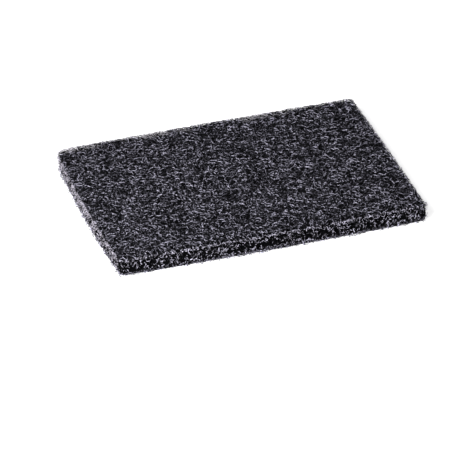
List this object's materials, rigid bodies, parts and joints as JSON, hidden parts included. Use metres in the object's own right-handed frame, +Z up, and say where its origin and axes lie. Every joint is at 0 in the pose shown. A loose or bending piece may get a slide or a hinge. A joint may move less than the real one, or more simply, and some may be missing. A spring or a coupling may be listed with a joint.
{
  "type": "griddle polishing pad",
  "caption": "Flat rectangular scouring pad of tangled, resin-bonded nylon strands, for polishing a hot griddle by hand or in a holder.",
  "frame": {"origin": "middle of the underside, on the surface that the pad lies on", "axes": "+X along the pad's length, +Y across it towards the back, +Z up through its thickness"},
  "size_m": [0.1332, 0.1016, 0.0091],
  "materials": {
    "web": "open web of crimped nylon strands under a dark, slightly glossy charcoal resin"
  },
  "bodies": {
    "root": {"pad": "web"}
  },
  "joints": []
}
